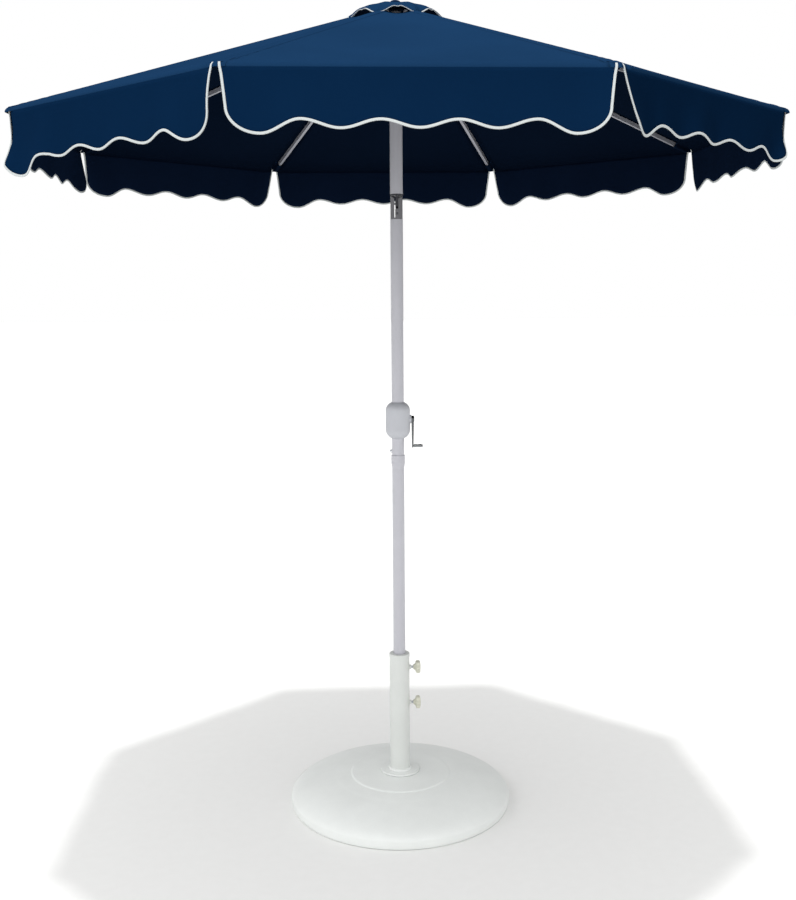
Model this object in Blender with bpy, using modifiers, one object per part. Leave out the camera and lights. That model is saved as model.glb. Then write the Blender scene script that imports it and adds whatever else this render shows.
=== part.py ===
"""Crank and tilt patio umbrella standing in a weighted dome base.

Metres, +Z up, origin at the centre of the base's underside. The canopy is a regular octagon whose
sides face the axes; side 1 faces -Y, and the numbers run counterclockwise seen from above. Rib 1
lies between sides 1 and 2. The crank and the clamp knobs are on +X, the snap button is on -X, and
the canopy tilts about the X axis. Everything is modelled open and upright.
"""

import math

import bmesh
import bpy
from mathutils import Matrix, Vector

# ---------------------------------------------------------------- driving dimensions
SIDES = 8
HALF_SECTOR = math.pi / SIDES
GAP = 0.0003  # clearance between solids that rest on each other

# mast
POLE_RADIUS = 0.019
POLE_WALL = 0.0015
POLE_FOOT_Z = 0.107
POLE_JOINT_Z = 1.112
FLARE_RADIUS = 0.0214
TILT_BOTTOM_Z = 1.844
TILT_TOP_Z = 1.918
TILT_PIN_Z = 1.889
TILT_SWEEP = 0.0232  # the fork's cheeks are rounded to this radius about the pin
TILT_SLOT = (-0.0073, 0.0048)
LOCK_X = 0.0010
LOCK_Z = 1.860
SNAP_Z = 1.138
SNAP_RADIUS = 0.0050
MAST_TOP_Z = 2.430

# base
BASE_RADIUS = 0.350
BASE_EDGE_Z = 0.026
BASE_CROWN_RISE = 0.070
BASE_STEP_RADIUS = 0.155
BASE_TOP_Z = 0.0995
SHELL_WALL = 0.004
PLATE_THICKNESS = 0.003
FLANGE_RADIUS = 0.0625
FLANGE_TOP_Z = 0.1055
SLEEVE_RADIUS = 0.03175
SLEEVE_WALL = 0.003
SLEEVE_TOP_Z = 0.477
SLEEVE_CAP_TOP_Z = 0.4885
KNOB_HEIGHTS = {"upper_knob": 0.441, "lower_knob": 0.324}

# crank housing
HOUSING_RADIUS = 0.0368
HOUSING_BOTTOM_Z = 1.178
HOUSING_LOW_SHOULDER_Z = 1.205
HOUSING_HIGH_SHOULDER_Z = 1.265
HOUSING_TOP_Z = 1.290
CRANK_Z = 1.237
CRANK_ARM = 0.0835
SPOOL_RADIUS = 0.0055
SPOOL_FLANGE_RADIUS = 0.0078

# crown, runner and folding frame
SLOPE = math.radians(18.0)
CORNER_RADIUS = 1.110
RIM_Z = 2.100
PIVOT_RADIUS = 0.036
HUB_PIVOT_Z = 2.4186
LINK = 0.440  # from the hub pivot to the stretcher pivot, and the stretcher's own length
RIB_END = 1.100
RIB_WIDTH = 0.0096
RIB_HEIGHT = 0.0125
RIB_WALL = 0.0010
RIB_OFFSET = 0.01925  # the rib tube lies this far above the line through its two pivots
CHEEK_THICKNESS = 0.0014
TONGUE_WIDTH = 0.008
STRETCHER_WIDTH = 0.006
STRETCHER_HEIGHT = 0.011
PIN_RADIUS = 0.0022
PIN_LENGTH = 0.0136
SLOT_WIDTH = 0.0088
RING_RADIUS = 0.047
PULLEY_Z = 2.400

# canopy
CLOTH = 0.002
VENT_HOLE = 0.128
RIM_APOTHEM = CORNER_RADIUS * math.cos(HALF_SECTOR)
PANEL_SLOPE = math.atan(math.tan(SLOPE) / math.cos(HALF_SECTOR))
FLAP_HALF_WIDTH = 0.415
FLAP_DROP = 0.119
FLAP_WAVE = 0.0085
FLAP_LOBES = 5
VENT_RADIUS = 0.155
VENT_TIP_RADIUS = 0.0045
VENT_TOP_Z = 2.466
VENT_EDGE_Z = 2.414
VENT_ARCH = 0.015  # rise of the vent's free edge between two ribs

PART_NAME = "patio_umbrella"


# ---------------------------------------------------------------- scene and materials
def empty_scene():
    for obj in list(bpy.data.objects):
        bpy.data.objects.remove(obj, do_unlink=True)


def new_collection(name):
    collection = bpy.data.collections.new(name)
    bpy.context.scene.collection.children.link(collection)
    return collection


empty_scene()
PARTS = new_collection(PART_NAME)
CUTTERS = new_collection("cutters")

FINISHES = {
    "pole_paint": ((0.47, 0.47, 0.51), 0.38, 0.0),
    "base_paint": ((0.64, 0.66, 0.65), 0.42, 0.0),
    "concrete": ((0.42, 0.41, 0.39), 0.90, 0.0),
    "housing_plastic": ((0.49, 0.49, 0.52), 0.45, 0.0),
    "chrome": ((0.62, 0.63, 0.64), 0.12, 1.0),
    "zinc_steel": ((0.35, 0.35, 0.36), 0.35, 1.0),
    "dark_casting": ((0.10, 0.10, 0.11), 0.45, 0.6),
    "knob_plastic": ((0.58, 0.58, 0.48), 0.50, 0.0),
    "navy_cloth": ((0.011, 0.045, 0.125), 0.80, 0.0),
    "navy_plastic": ((0.012, 0.040, 0.110), 0.45, 0.0),
    "grey_nylon": ((0.40, 0.40, 0.43), 0.50, 0.0),
}


def finish(name):
    """One Principled material for each finish."""
    found = bpy.data.materials.get(name)
    if found:
        return found
    colour, roughness, metallic = FINISHES[name]
    material = bpy.data.materials.new(name)
    material.use_nodes = True
    shader = material.node_tree.nodes["Principled BSDF"]
    shader.inputs["Base Color"].default_value = (*colour, 1.0)
    shader.inputs["Roughness"].default_value = roughness
    shader.inputs["Metallic"].default_value = metallic
    return material


# ---------------------------------------------------------------- modelling helpers
def add_object(name, data, collection=CUTTERS):
    obj = bpy.data.objects.new(name, data)
    collection.objects.link(obj)
    return obj


def from_bmesh(name, shape):
    mesh = bpy.data.meshes.new(name)
    shape.to_mesh(mesh)
    shape.free()
    return add_object(name, mesh)


def block(low, high):
    """A box between two corners."""
    low, high = Vector(low), Vector(high)
    shape = bmesh.new()
    size = Matrix.Diagonal((*(high - low), 1.0))
    bmesh.ops.create_cube(shape, size=1.0, matrix=Matrix.Translation((low + high) / 2) @ size)
    return from_bmesh("block", shape)


def rod(start, end, radius, end_radius=None, segments=16):
    """A round bar or cone between two points."""
    start, end = Vector(start), Vector(end)
    turn = (end - start).to_track_quat("Z", "Y").to_matrix().to_4x4()
    shape = bmesh.new()
    bmesh.ops.create_cone(
        shape,
        cap_ends=True,
        segments=segments,
        radius1=radius,
        radius2=radius if end_radius is None else end_radius,
        depth=(end - start).length,
        matrix=Matrix.Translation((start + end) / 2) @ turn,
    )
    return from_bmesh("rod", shape)


def turned(profile, segments=24, closed=False):
    """Points (radius, height), down the outer side, turned about the Z axis."""
    shape = bmesh.new()
    points = [shape.verts.new((r, 0.0, z)) for r, z in profile]
    pairs = list(zip(points, points[1:])) + ([(points[-1], points[0])] if closed else [])
    for a, b in pairs:
        shape.edges.new((a, b))
    obj = from_bmesh("turned", shape)
    screw = obj.modifiers.new("turn", "SCREW")
    screw.steps = segments
    screw.render_steps = segments
    screw.use_merge_vertices = True
    screw.merge_threshold = 0.00001
    screw.use_normal_calculate = False
    return frozen(obj)


def tube(bottom, top, radius, bore, segments=24):
    return turned([(radius, top), (radius, bottom), (bore, bottom), (bore, top)], segments, closed=True)


def sheet_metal(outline, thickness):
    """A flat outline in the XY plane, thickened equally up and down."""
    curve = bpy.data.curves.new("outline", "CURVE")
    curve.dimensions = "2D"
    curve.fill_mode = "BOTH"
    curve.extrude = thickness / 2
    for loop in outline:
        spline = curve.splines.new("POLY")
        spline.points.add(len(loop) - 1)
        for point, (x, y) in zip(spline.points, loop):
            point.co = (x, y, 0.0, 1.0)
        spline.use_cyclic_u = True
    obj = add_object("outline", curve)
    mesh = bpy.data.meshes.new_from_object(obj.evaluated_get(bpy.context.evaluated_depsgraph_get()))
    bpy.data.objects.remove(obj)
    shape = bmesh.new()
    shape.from_mesh(mesh)
    bmesh.ops.remove_doubles(shape, verts=shape.verts, dist=0.00001)
    bpy.data.meshes.remove(mesh)
    return from_bmesh("plate", shape)


def upright(obj):
    """Turns an XY plate so that its Y axis points up and its thickness lies along Y."""
    obj.data.transform(Matrix.Rotation(math.pi / 2, 4, "X"))
    return obj


def circle(centre, radius, steps=12, start=0.0, sweep=2 * math.pi):
    count = steps if abs(sweep - 2 * math.pi) < 1e-9 else steps + 1
    angles = [start + sweep * i / steps for i in range(count)]
    return [(centre[0] + radius * math.cos(a), centre[1] + radius * math.sin(a)) for a in angles]


def frozen(obj):
    """Replaces an object's mesh by what its modifiers make of it."""
    bpy.context.view_layer.update()
    graph = bpy.context.evaluated_depsgraph_get()
    mesh = bpy.data.meshes.new_from_object(obj.evaluated_get(graph))
    obj.modifiers.clear()
    obj.data = mesh
    return obj


def combine(obj, others, operation):
    """A boolean with each of the others, which are then removed."""
    for other in others:
        step = obj.modifiers.new(operation.lower(), "BOOLEAN")
        step.operation = operation
        step.solver = "EXACT"
        step.object = other
    frozen(obj)
    for other in others:
        bpy.data.objects.remove(other)
    return obj


def join(obj, *others):
    return combine(obj, others, "UNION")


def cut(obj, *others):
    return combine(obj, others, "DIFFERENCE")


def piece(name, obj, finish_name, origin=(0.0, 0.0, 0.0)):
    """Gives a finished shape its name and finish, with its origin on its own axis."""
    obj.data.transform(Matrix.Translation(-Vector(origin)))
    obj.matrix_world = Matrix.Translation(Vector(origin))
    obj.name = obj.data.name = name
    obj.data.materials.clear()
    obj.data.materials.append(finish(finish_name))
    obj.data.shade_smooth()
    obj.data.set_sharp_from_angle(angle=math.radians(30))
    CUTTERS.objects.unlink(obj)
    PARTS.objects.link(obj)
    return obj


def repeated(name, master, finish_name, places):
    """Numbered pieces that share one mesh, one for each place."""
    for number, place in enumerate(places, 1):
        copy = master if number == 1 else add_object(name, master.data)
        copy.matrix_world = place
        copy.name = f"{name}_{number}"
        CUTTERS.objects.unlink(copy)
        PARTS.objects.link(copy)
    master.data.name = name
    master.data.materials.clear()
    master.data.materials.append(finish(finish_name))
    master.data.shade_smooth()
    master.data.set_sharp_from_angle(angle=math.radians(30))


def side_angle(number):
    """Direction of the middle of canopy side 1 to 8."""
    return -math.pi / 2 + 2 * HALF_SECTOR * (number - 1)


def rib_angle(number):
    return side_angle(number) + HALF_SECTOR


def radial_place(angle, radius, height, pitch=0.0):
    """A frame whose X axis points outward at the angle, dipped by the pitch."""
    return (
        Matrix.Rotation(angle, 4, "Z")
        @ Matrix.Translation((radius, 0.0, height))
        @ Matrix.Rotation(pitch, 4, "Y")
    )


# ---------------------------------------------------------------- base
def dome_height(radius):
    """Outer height of the domed shell, without its raised centre."""
    share = min(radius / BASE_RADIUS, 1.0)
    return BASE_EDGE_Z + BASE_CROWN_RISE * (1.0 - share**2.6) ** 0.58


def dome_line(offset, shares):
    """The shell's profile from the centre hole to the foot, moved inward by the offset."""
    step = BASE_STEP_RADIUS
    line = [(0.030 + offset, BASE_TOP_Z), (step - 0.012, BASE_TOP_Z - 0.001)]
    line += [(step - 0.003, BASE_TOP_Z - 0.004), (step + 0.004, dome_height(step + 0.004))]
    for share in shares:
        line.append((BASE_RADIUS * share, dome_height(BASE_RADIUS * share)))
    line.append((BASE_RADIUS, BASE_EDGE_Z - 0.006))
    shrink = (BASE_RADIUS - offset) / BASE_RADIUS
    line = [(r if r < 0.05 else r * shrink, z - offset) for r, z in line]
    line += [(BASE_RADIUS - offset, 0.006), (BASE_RADIUS - 0.002 - offset, 0.0)]
    return line


def build_base():
    outer = dome_line(0.0, (0.54, 0.66, 0.76, 0.84, 0.90, 0.95, 0.98, 0.995))
    inner = dome_line(SHELL_WALL, (0.66, 0.84, 0.95, 0.99))
    piece("base_shell", turned(outer + inner[::-1], 40, closed=True), "base_paint")

    plate_radius = BASE_RADIUS - SHELL_WALL - 0.006
    piece("base_plate", tube(0.0, PLATE_THICKNESS, plate_radius, 0.010, 32), "zinc_steel")

    room = [(0.045, 0.058), (0.20, 0.056), (0.26, 0.048), (0.30, 0.034), (0.325, 0.016)]
    low = PLATE_THICKNESS + GAP
    ballast = [(0.012, 0.058)] + room + [(0.330, low), (0.012, low)]
    piece("base_ballast", turned(ballast, 32, closed=True), "concrete")

    flange_low = BASE_TOP_Z + GAP
    spigot = POLE_RADIUS + 0.0006
    profile = [(spigot + 0.004, 0.126), (spigot + 0.004, FLANGE_TOP_Z), (FLANGE_RADIUS, FLANGE_TOP_Z)]
    profile += [(FLANGE_RADIUS, flange_low), (0.006, flange_low), (0.006, FLANGE_TOP_Z)]
    profile += [(spigot, FLANGE_TOP_Z), (spigot, 0.126)]
    piece("base_flange", turned(profile, 32, closed=True), "base_paint")

    low = FLANGE_TOP_Z + GAP
    sleeve = tube(low, SLEEVE_TOP_Z, SLEEVE_RADIUS, SLEEVE_RADIUS - SLEEVE_WALL, 32)
    nuts = []
    bores = []
    for height in KNOB_HEIGHTS.values():
        nuts.append(rod((SLEEVE_RADIUS - 0.002, 0, height), (0.0372, 0, height), 0.0078, segments=6))
        bores.append(rod((0.020, 0, height), (0.040, 0, height), 0.0044, segments=16))
    piece("sleeve_tube", cut(join(sleeve, *nuts), *bores), "base_paint")

    bore = POLE_RADIUS + 0.0006
    inside = SLEEVE_RADIUS - SLEEVE_WALL - GAP
    low = SLEEVE_TOP_Z + GAP
    cap = [(bore, SLEEVE_CAP_TOP_Z), (0.0310, SLEEVE_CAP_TOP_Z), (0.0326, SLEEVE_CAP_TOP_Z - 0.0016)]
    cap += [(0.0326, low), (inside, low), (inside, 0.455), (bore, 0.455)]
    piece("sleeve_cap", turned(cap, 32, closed=True), "base_paint")


def build_knob(name, height):
    """Six-lobed clamp knob with its steel screw, pointing along +X."""
    lobes = []
    for i in range(36):
        angle = 2 * math.pi * i / 36
        radius = 0.0163 + 0.0019 * math.cos(6 * angle)
        lobes.append((radius * math.cos(angle), radius * math.sin(angle)))
    head = sheet_metal([lobes], 0.014)
    head.data.transform(Matrix.Translation((0, 0, 0.0585)))
    back = turned([(0.0, 0.0520), (0.0125, 0.0520), (0.0090, 0.0435), (0.0, 0.0435)], 18)
    front = turned([(0.0, 0.0675), (0.0110, 0.0675), (0.0135, 0.0650), (0.0, 0.0650)], 18)
    screw = rod((0, 0, POLE_RADIUS + 0.0005), (0, 0, 0.0450), 0.0040)
    knob = join(head, back, front, screw)
    knob.data.transform(Matrix.Translation((0, 0, height)) @ Matrix.Rotation(math.pi / 2, 4, "Y"))
    piece(name, knob, "knob_plastic", origin=(0.0, 0.0, height))


# ---------------------------------------------------------------- mast
def build_mast():
    bore = POLE_RADIUS - POLE_WALL
    socket = POLE_RADIUS + 0.0006
    lower = [(FLARE_RADIUS, 1.125), (FLARE_RADIUS, 1.100), (POLE_RADIUS, 1.086), (POLE_RADIUS, POLE_FOOT_Z)]
    lower += [(bore, POLE_FOOT_Z), (bore, POLE_JOINT_Z - GAP), (socket, POLE_JOINT_Z - GAP), (socket, 1.125)]
    piece("lower_pole", turned(lower, closed=True), "pole_paint")

    hole = rod((-0.030, 0, SNAP_Z), (-0.010, 0, SNAP_Z), SNAP_RADIUS + 0.0006, segments=16)
    middle = tube(POLE_JOINT_Z, TILT_BOTTOM_Z - GAP, POLE_RADIUS, bore)
    crank_hole = rod((-0.025, 0, CRANK_Z), (0.025, 0, CRANK_Z), 0.0085, segments=16)
    piece("middle_pole", cut(middle, hole, crank_hole), "pole_paint")

    hole = rod((-0.030, 0, SNAP_Z), (-0.010, 0, SNAP_Z), SNAP_RADIUS + 0.0006, segments=16)
    spigot = tube(1.020, 1.170, bore - 0.0003, bore - 0.0019)
    piece("pole_spigot", cut(spigot, hole), "zinc_steel")

    profile = [(0.0, 0.0268), (0.0022, 0.0262), (0.0040, 0.0242), (SNAP_RADIUS, 0.0210)]
    profile += [(SNAP_RADIUS, 0.0136), (SNAP_RADIUS + 0.0014, 0.0136)]
    profile += [(SNAP_RADIUS + 0.0014, 0.0122), (0.0, 0.0122)]
    button = turned(profile, 16)
    button.data.transform(Matrix.Translation((0, 0, SNAP_Z)) @ Matrix.Rotation(-math.pi / 2, 4, "Y"))
    piece("snap_button", button, "chrome", origin=(-0.020, 0.0, SNAP_Z))

    piece("upper_pole", tube(TILT_TOP_Z + GAP, MAST_TOP_Z, POLE_RADIUS, bore), "pole_paint")


def shoulder(start, end, steps=7):
    """Rounded end of the housing, from its full width at start to the mast at end."""
    reach = (end - start) / math.sqrt(1.0 - (POLE_RADIUS / HOUSING_RADIUS) ** 2)
    heights = [start + (end - start) * i / steps for i in range(steps + 1)]
    return [(HOUSING_RADIUS * math.sqrt(1.0 - ((z - start) / reach) ** 2) + 0.0010, z) for z in heights]


def housing_half(side):
    """Front (side -1) or rear (side +1) half of the crank housing."""
    outer = shoulder(HOUSING_HIGH_SHOULDER_Z, HOUSING_TOP_Z)[::-1]
    outer += shoulder(HOUSING_LOW_SHOULDER_Z, HOUSING_BOTTOM_Z)
    socket = POLE_RADIUS + 0.0004
    wide, narrow = HOUSING_RADIUS - 0.0020, HOUSING_RADIUS - 0.0110
    inner = [(socket, HOUSING_BOTTOM_Z), (socket, HOUSING_BOTTOM_Z + 0.004)]
    inner += [(narrow, HOUSING_BOTTOM_Z + 0.011), (wide, HOUSING_LOW_SHOULDER_Z + 0.002)]
    inner += [(wide, HOUSING_HIGH_SHOULDER_Z - 0.002), (narrow, HOUSING_TOP_Z - 0.011)]
    inner += [(socket, HOUSING_TOP_Z - 0.004), (socket, HOUSING_TOP_Z)]
    shell = turned(outer + inner, 32, closed=True)
    boss = rod((0.030, 0, CRANK_Z), (0.0415, 0, CRANK_Z), 0.0165, 0.0125, segments=20)
    room = rod((0.000, 0, CRANK_Z), (0.0342, 0, CRANK_Z), 0.030, segments=8)
    shell = join(shell, cut(boss, room))
    shaft_bore = rod((0.020, 0, CRANK_Z), (0.045, 0, CRANK_Z), 0.0064, segments=16)
    near, far = (-0.06, GAP / 2) if side > 0 else (-GAP / 2, 0.06)
    other_half = block((-0.06, near, 1.16), (0.06, far, 1.31))
    return cut(shell, shaft_bore, other_half)


def build_crank():
    piece("crank_housing_front", housing_half(-1), "housing_plastic")
    piece("crank_housing_rear", housing_half(1), "housing_plastic")

    profile = [(0.0, 0.0448), (0.0045, 0.0448), (0.0060, 0.0436), (0.0060, 0.0150)]
    profile += [(SPOOL_FLANGE_RADIUS, 0.0150), (SPOOL_FLANGE_RADIUS, 0.0135), (SPOOL_RADIUS, 0.0120)]
    profile += [(SPOOL_RADIUS, -0.0120), (SPOOL_FLANGE_RADIUS, -0.0135)]
    profile += [(SPOOL_FLANGE_RADIUS, -0.0160), (0.0, -0.0160)]
    spool = turned(profile, 16)
    spool.data.transform(Matrix.Translation((0, 0, CRANK_Z)) @ Matrix.Rotation(math.pi / 2, 4, "Y"))
    piece("crank_spool", spool, "zinc_steel", origin=(0.0, 0.0, CRANK_Z))

    outline = circle((0, 0), 0.0105, 10, 0.0, math.pi)
    outline += circle((0, -CRANK_ARM), 0.0058, 8, math.pi, math.pi)
    arm = sheet_metal([outline], 0.0076)
    stand = Matrix.Rotation(math.pi / 2, 4, "Z") @ Matrix.Rotation(math.pi / 2, 4, "X")
    arm.data.transform(Matrix.Translation((0, 0, CRANK_Z)) @ stand)
    for vert in arm.data.vertices:
        vert.co.x *= 1.0 + 0.42 * min(0.0, vert.co.z - CRANK_Z) / CRANK_ARM
    arm.data.transform(Matrix.Translation((0.0456, 0, 0)))
    hub = rod((0.0420, 0, CRANK_Z), (0.0505, 0, CRANK_Z), 0.0105, 0.0085, segments=16)
    stub_z = CRANK_Z - CRANK_ARM
    stub = rod((0.0440, 0, stub_z), (0.0745, 0, stub_z), 0.0024, segments=12)
    head = rod((0.0740, 0, stub_z), (0.0765, 0, stub_z), 0.0042, segments=12)
    seat = rod((0.0400, 0, CRANK_Z), (0.0451, 0, CRANK_Z), 0.0063, segments=16)
    piece("crank_arm", cut(join(arm, hub, stub, head), seat), "chrome", origin=(0.0452, 0.0, CRANK_Z))

    grip = [(0.0042, 0.0735), (0.0050, 0.0730), (0.0052, 0.0690), (0.0044, 0.0600), (0.0052, 0.0510)]
    grip += [(0.0046, 0.0490), (0.0028, 0.0490), (0.0028, 0.0735)]
    grip = turned(grip, 14, closed=True)
    grip.data.transform(Matrix.Translation((0, 0, stub_z)) @ Matrix.Rotation(math.pi / 2, 4, "Y"))
    piece("crank_grip", grip, "chrome", origin=(0.0600, 0.0, stub_z))


def build_tilt_joint():
    """Fork on the middle pole, tongue on the upper pole, pin along X, and a spring-loaded lock."""
    plug = POLE_RADIUS - POLE_WALL - GAP
    body = POLE_RADIUS - 0.0006
    stand = Matrix.Translation((0, 0, TILT_PIN_Z)) @ Matrix.Rotation(math.pi / 2, 4, "Z")
    pin_hole = rod((-0.03, 0, TILT_PIN_Z), (0.03, 0, TILT_PIN_Z), 0.0033)

    profile = [(0.0, TILT_TOP_Z), (body, TILT_TOP_Z), (body, TILT_BOTTOM_Z + GAP)]
    profile += [(plug, TILT_BOTTOM_Z + GAP), (plug, 1.800), (0.0, 1.800)]
    left, right = TILT_SLOT
    slot = block((left, -0.03, 1.874), (right, 0.03, 1.95))
    slit = block((left, -0.03, TILT_BOTTOM_Z + 0.004), (-0.0030, 0.03, 1.88))
    outline = [(-0.03, 0.04), (-0.03, 0.0)] + circle((0, 0), TILT_SWEEP, 16, math.pi, -math.pi)
    outline += [(0.03, 0.0), (0.03, 0.04)]
    crown = upright(sheet_metal([outline], 0.06))
    crown.data.transform(stand)
    lock_bore = rod((LOCK_X, -0.03, LOCK_Z), (LOCK_X, 0.0105, LOCK_Z), 0.0036, segments=16)
    fork = cut(turned(profile), slot, slit, crown, pin_hole, lock_bore)
    piece("tilt_fork", fork, "dark_casting")

    profile = [(0.0, 1.960), (plug, 1.960), (plug, TILT_TOP_Z + GAP), (body, TILT_TOP_Z)]
    profile += [(body, TILT_TOP_Z - 0.005), (0.0, TILT_TOP_Z - 0.005)]
    outline = circle((0, 0), 0.0145, 12, math.pi, math.pi) + [(0.0145, 0.028), (-0.0145, 0.028)]
    blade = upright(sheet_metal([outline], 0.0072))
    blade.data.transform(Matrix.Translation((0.0008, 0, 0)) @ stand)
    pin_hole = rod((-0.03, 0, TILT_PIN_Z), (0.03, 0, TILT_PIN_Z), 0.0033)
    tongue = cut(join(turned(profile), blade), pin_hole)
    piece("tilt_tongue", tongue, "dark_casting", origin=(0.0, 0.0, TILT_PIN_Z))

    pin = rod((-0.0170, 0, TILT_PIN_Z), (0.0170, 0, TILT_PIN_Z), 0.0030)
    piece("tilt_pin", pin, "zinc_steel", origin=(0.0, 0.0, TILT_PIN_Z))

    button = rod((LOCK_X, -0.0190, LOCK_Z), (LOCK_X, -0.0060, LOCK_Z), 0.0032)
    piece("tilt_button", button, "chrome", origin=(LOCK_X, -0.012, LOCK_Z))

    turns, steps = 4, 7
    coil = bpy.data.curves.new("coil", "CURVE")
    coil.dimensions = "3D"
    coil.bevel_depth = 0.0004
    coil.bevel_resolution = 2
    coil.use_fill_caps = True
    spline = coil.splines.new("POLY")
    spline.points.add(turns * steps)
    for i, point in enumerate(spline.points):
        angle = 2 * math.pi * i / steps
        along = -0.0052 + 0.0150 * i / (turns * steps)
        point.co = (LOCK_X + 0.0028 * math.cos(angle), along, LOCK_Z + 0.0028 * math.sin(angle), 1.0)
    obj = add_object("coil", coil)
    mesh = bpy.data.meshes.new_from_object(obj.evaluated_get(bpy.context.evaluated_depsgraph_get()))
    bpy.data.objects.remove(obj)
    shape = bmesh.new()
    shape.from_mesh(mesh)
    bmesh.ops.remove_doubles(shape, verts=shape.verts, dist=0.00001)
    piece("tilt_spring", from_bmesh("coil", shape), "zinc_steel")


# ---------------------------------------------------------------- crown, runner and frame
def pivot_ring(low, high, core_low, core_high, pivot_z, bore, blind=None):
    """A slotted ring with eight pin pockets round a central sleeve."""
    core = 0.0262
    profile = [(core, core_high), (core, high), (RING_RADIUS, high), (RING_RADIUS, low)]
    profile += [(core, low), (core, core_low)] if core_low < low else []
    profile += [(bore, core_low)]
    if blind is None:
        ring = turned(profile + [(bore, core_high)], 32, closed=True)
    else:
        ring = turned([(0.0, core_high)] + profile + [(bore, blind), (0.0, blind)], 32)
    cutters = []
    for number in range(1, SIDES + 1):
        place = radial_place(rib_angle(number), PIVOT_RADIUS, pivot_z)
        slot = block((-0.0078, -SLOT_WIDTH / 2, -0.05), (0.03, SLOT_WIDTH / 2, 0.05))
        slot.data.transform(place)
        reach = PIN_LENGTH / 2 + GAP
        pocket = rod((0, -reach, 0), (0, reach, 0), PIN_RADIUS + 0.0004, segments=10)
        pocket.data.transform(place)
        cutters += [slot, pocket]
    return cut(ring, *cutters)


def rib_master():
    """A rib in its own frame: hub pivot at the origin, stretcher pivot at LINK along X."""
    low, high = RIB_OFFSET - RIB_HEIGHT / 2, RIB_OFFSET + RIB_HEIGHT / 2
    half = RIB_WIDTH / 2
    rib = block((0.030, -half, low), (RIB_END, half, high))
    side = half - RIB_WALL
    hollow = block((0.010, -side, low + RIB_WALL), (RIB_END + 0.02, side, high - RIB_WALL))
    rib = cut(rib, hollow)
    outline = circle((0, 0), 0.0062, 8, math.pi / 2, math.pi)
    outline += [(0.012, -0.0062), (0.032, low + 0.0006), (0.060, low + 0.0006)]
    outline += [(0.060, high - 0.0006), (0.032, high - 0.0006), (0.010, 0.0085)]
    tongue = upright(sheet_metal([outline], TONGUE_WIDTH))
    hub_pin = rod((0, -PIN_LENGTH / 2, 0), (0, PIN_LENGTH / 2, 0), PIN_RADIUS, segments=10)
    cheeks = []
    for sign in (-1, 1):
        outline = circle((LINK, 0), 0.0068, 8, math.pi, math.pi)
        outline += [(LINK + 0.014, low + 0.0006), (LINK - 0.014, low + 0.0006)]
        cheek = upright(sheet_metal([outline], CHEEK_THICKNESS))
        cheek.data.transform(Matrix.Translation((0, sign * (half - CHEEK_THICKNESS / 2), 0)))
        cheeks.append(cheek)
    link_pin = rod((LINK, -half + 0.0005, 0), (LINK, half - 0.0005, 0), PIN_RADIUS, segments=10)
    return join(rib, tongue, hub_pin, *cheeks, link_pin)


def stretcher_master():
    """A stretcher in its own frame: rib pivot at the origin, runner pivot at LINK along -X."""
    half = STRETCHER_HEIGHT / 2
    outline = circle((0, 0), half, 8, -math.pi / 2, math.pi)
    outline += circle((-LINK, 0), half, 8, math.pi / 2, math.pi)
    bar = upright(sheet_metal([outline, circle((0, 0), PIN_RADIUS + 0.0004, 10)], STRETCHER_WIDTH))
    pin = rod((-LINK, -PIN_LENGTH / 2, 0), (-LINK, PIN_LENGTH / 2, 0), PIN_RADIUS, segments=10)
    return join(bar, pin)


def build_frame():
    hub = pivot_ring(2.4035, 2.4340, 2.390, 2.4400, HUB_PIVOT_Z, POLE_RADIUS + GAP, MAST_TOP_Z + GAP)
    screw_hole = rod((0, 0, 2.425), (0, 0, 2.445), 0.0034, segments=12)
    piece("crown_hub", cut(hub, screw_hole), "grey_nylon")

    runner_z = HUB_PIVOT_Z - 2 * LINK * math.sin(SLOPE)
    low, high = runner_z - 0.009, runner_z + 0.013
    runner = pivot_ring(low, high, low, high + 0.026, runner_z, POLE_RADIUS + 0.0014)
    piece("runner", runner, "grey_nylon", origin=(0.0, 0.0, runner_z))

    angles = [rib_angle(number) for number in range(1, SIDES + 1)]
    hub_places = [radial_place(a, PIVOT_RADIUS, HUB_PIVOT_Z, SLOPE) for a in angles]
    repeated("rib", rib_master(), "pole_paint", hub_places)

    reach = PIVOT_RADIUS + LINK * math.cos(SLOPE)
    link_z = HUB_PIVOT_Z - LINK * math.sin(SLOPE)
    link_places = [radial_place(a, reach, link_z, -SLOPE) for a in angles]
    repeated("stretcher", stretcher_master(), "pole_paint", link_places)

    cap = [(0.0, 2.4760), (0.0070, 2.4752), (0.0130, 2.4728), (0.0165, 2.4690), (0.0165, 2.4672)]
    cap += [(0.0030, 2.4672), (0.0030, 2.4315), (0.0, 2.4315)]
    piece("crown_cap", turned(cap, 20), "navy_plastic")

    wheel = [(0.0095, 0.004), (0.0095, 0.0035), (0.0070, 0.001), (0.0070, -0.001), (0.0095, -0.0035)]
    wheel += [(0.0095, -0.004), (0.0022, -0.004), (0.0022, 0.004)]
    wheel = turned(wheel, 16, closed=True)
    wheel.data.transform(Matrix.Translation((0, 0, PULLEY_Z)) @ Matrix.Rotation(math.pi / 2, 4, "X"))
    piece("lift_pulley", wheel, "grey_nylon", origin=(0.0, 0.0, PULLEY_Z))


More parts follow.
